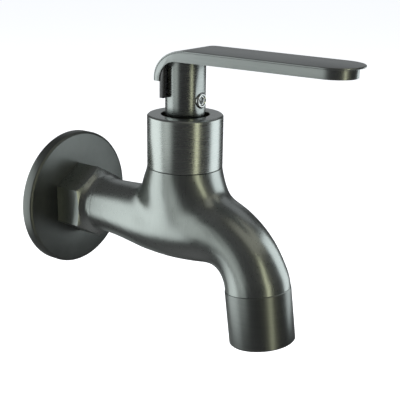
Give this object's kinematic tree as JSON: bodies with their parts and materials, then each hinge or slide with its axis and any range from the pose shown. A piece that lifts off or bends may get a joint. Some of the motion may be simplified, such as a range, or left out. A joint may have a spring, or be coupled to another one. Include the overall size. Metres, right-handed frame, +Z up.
{
  "type": "bib tap",
  "caption": "Wall-mounted bib tap: round wall flange, hexagon collar, short tube, down-turned spout with an aerator sleeve, and a quarter-turn lever on an upright bonnet.",
  "frame": {"origin": "centre of the inlet on the wall plane, where the threaded tail meets the wall face of the flange", "axes": "+X out from the wall along the inlet towards the spout, +Z up along the stem, +Y to the left of someone who looks from the spout to the wall"},
  "size_m": [0.1561, 0.06, 0.1163],
  "materials": {
    "satin_metal": "brushed, grey with a slight green cast",
    "bright_steel": "bright",
    "spring_steel": "plain",
    "brass": "machined",
    "ceramic": "lapped",
    "black_rubber": "matt",
    "foam": "soft and matt",
    "fibre": "pressed fibre",
    "white_plastic": "moulded",
    "dark_plastic": "moulded"
  },
  "bodies": {
    "tap_body": {"wall_flange": "satin_metal", "flange_foam": "foam", "body_casting": "satin_metal", "seat_seal": "black_rubber", "fixed_ceramic_disc": "ceramic", "headwork_housing": "brass", "fibre_washer": "fibre", "bonnet_sleeve": "satin_metal", "aerator_sleeve": "satin_metal", "aerator_washer": "black_rubber", "aerator_diffuser": "white_plastic", "aerator_cage": "white_plastic", "aerator_screens": "spring_steel"},
    "handle": {"moving_ceramic_disc": "ceramic", "spindle": "brass", "spindle_o_rings": "black_rubber", "glide_washer": "white_plastic", "stop_ring": "spring_steel", "retaining_clip": "spring_steel", "lever_hub": "satin_metal", "grub_screw": "bright_steel", "lever_screw": "spring_steel", "lever_plate": "satin_metal", "lever_liner": "dark_plastic"}
  },
  "joints": [
    {"name": "lever_turn", "type": "hinge", "parent": "tap_body", "child": "handle", "pos_m": [0.0656, 0, 0.05], "axis": [0, 0, 1], "range_deg": [0, 90]}
  ]
}
